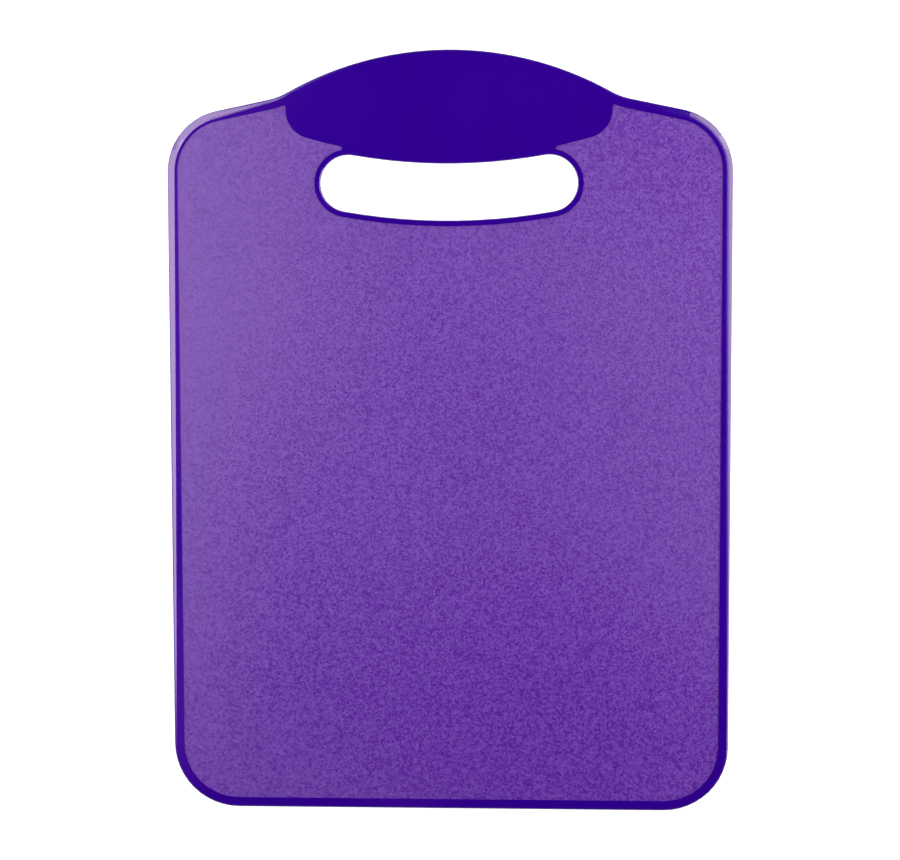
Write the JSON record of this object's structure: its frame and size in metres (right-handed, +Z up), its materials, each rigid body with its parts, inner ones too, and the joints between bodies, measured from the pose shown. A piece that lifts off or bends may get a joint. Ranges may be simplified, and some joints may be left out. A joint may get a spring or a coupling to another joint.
{
  "type": "flexible cutting mat",
  "caption": "Thin flexible cutting mat with rounded corners and an arched handle: a frosted sheet held in a dark raised rim that widens into a smooth grip pad above a curved hand slot.",
  "frame": {"origin": "under the middle of the mat's bounding box, on the surface that it lies on", "axes": "+X across the mat, +Y along it towards the handle, +Z up out of the face that is cut on"},
  "size_m": [0.25, 0.34, 0.0026],
  "materials": {
    "frosted_sheet": "fine frosted grain",
    "soft_surround": "gloss"
  },
  "bodies": {
    "root": {"cutting_panel": "frosted_sheet", "rim_grip": "soft_surround"}
  },
  "joints": []
}
